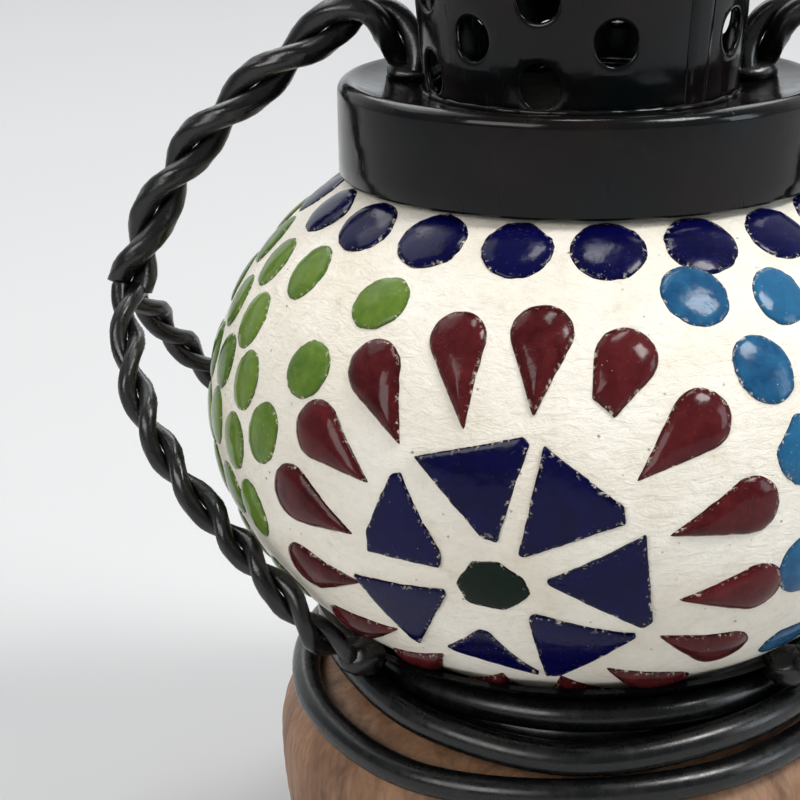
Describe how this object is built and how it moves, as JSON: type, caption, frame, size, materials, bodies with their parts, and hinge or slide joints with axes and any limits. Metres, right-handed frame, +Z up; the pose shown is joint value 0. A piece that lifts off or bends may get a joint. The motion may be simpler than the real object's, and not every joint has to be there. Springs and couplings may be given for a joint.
{
  "type": "mosaic glass table lamp",
  "caption": "Table lamp: mosaic glass globe in a frame of twisted black bars, with a pierced chimney, lift-off cap, turned wooden base and wound mains cord.",
  "frame": {"origin": "middle of the underside of the felt pad, on the surface the lamp stands on", "axes": "+Z up the lamp's axis; -Y is the front, with a mosaic flower facing it; the arms are at -X and +X"},
  "size_m": [0.1679, 0.2429, 0.2094],
  "materials": {
    "felt": "matt",
    "wood": "satin, stained",
    "plated_brass": "satin",
    "zinc_steel": "satin",
    "black_iron": "gloss over wrought bars",
    "black_paint": "gloss",
    "holder_plastic": "matt",
    "holder_ceramic": "satin",
    "wire_insulation": "satin",
    "bulb_glass": "clear",
    "filament": "matt",
    "globe_glass": "clear",
    "grout": "matt, slightly rough",
    "glass_dark_green": "gloss",
    "glass_navy": "gloss",
    "glass_red": "gloss",
    "glass_green": "gloss",
    "glass_blue": "gloss",
    "glass_amber": "gloss",
    "cord_pvc": "satin",
    "cord_rubber": "satin",
    "switch_plastic": "fine texture",
    "rocker_plastic": "gloss",
    "pin_metal": "nickel plated"
  },
  "bodies": {
    "lamp": {"base_felt": "felt", "wood_base": "wood", "bottom_nut": "plated_brass", "bottom_washer": "zinc_steel", "threaded_rod": "plated_brass", "gallery_cup": "black_iron", "gallery_nut": "plated_brass", "holder_shell": "holder_plastic", "holder_insert": "holder_ceramic", "holder_contacts": "plated_brass", "inner_wires": "wire_insulation", "bulb_cap": "zinc_steel", "bulb_glass": "bulb_glass", "bulb_filament": "filament", "globe_glass": "globe_glass", "globe_grout": "grout", "tiles_flower_centres": "glass_dark_green", "tiles_navy_wedges": "glass_navy", "tiles_red_teardrops": "glass_red", "tiles_navy_ovals": "glass_navy", "tiles_green_ovals": "glass_green", "tiles_blue_ovals": "glass_blue", "tiles_amber_ovals": "glass_amber", "collar": "black_paint", "chimney": "black_paint", "arm_left": "black_iron", "arm_right": "black_iron", "leg_front_left": "black_iron", "leg_front_right": "black_iron", "leg_back_left": "black_iron", "leg_back_right": "black_iron", "cord_grip": "cord_rubber", "cord_riser": "cord_pvc", "cord_coil": "cord_pvc", "cord_tail": "cord_pvc", "cord_end": "cord_pvc", "switch_lower": "switch_plastic", "switch_upper": "switch_plastic", "switch_contacts": "plated_brass", "switch_screws": "zinc_steel", "plug_boot": "cord_rubber", "plug_body": "switch_plastic", "plug_pins": "pin_metal"},
    "cap": {"cap_dome": "black_paint", "cap_lug": "black_paint"},
    "ring": {"lifting_ring": "black_iron"},
    "rocker": {"switch_rocker": "rocker_plastic"}
  },
  "joints": [
    {"name": "cap_lift", "type": "slide", "parent": "lamp", "child": "cap", "axis": [0, 0, 1], "range_m": [0, 0.03]},
    {"name": "ring_swing", "type": "hinge", "parent": "cap", "child": "ring", "pos_m": [0, 0, 0.2057], "axis": [1, 0, 0], "range_deg": [0, 208]},
    {"name": "switch_rocker", "type": "hinge", "parent": "lamp", "child": "rocker", "pos_m": [0.022, 0.114, 0.0146], "axis": [0, -1, 0], "range_deg": [0, 16]}
  ]
}
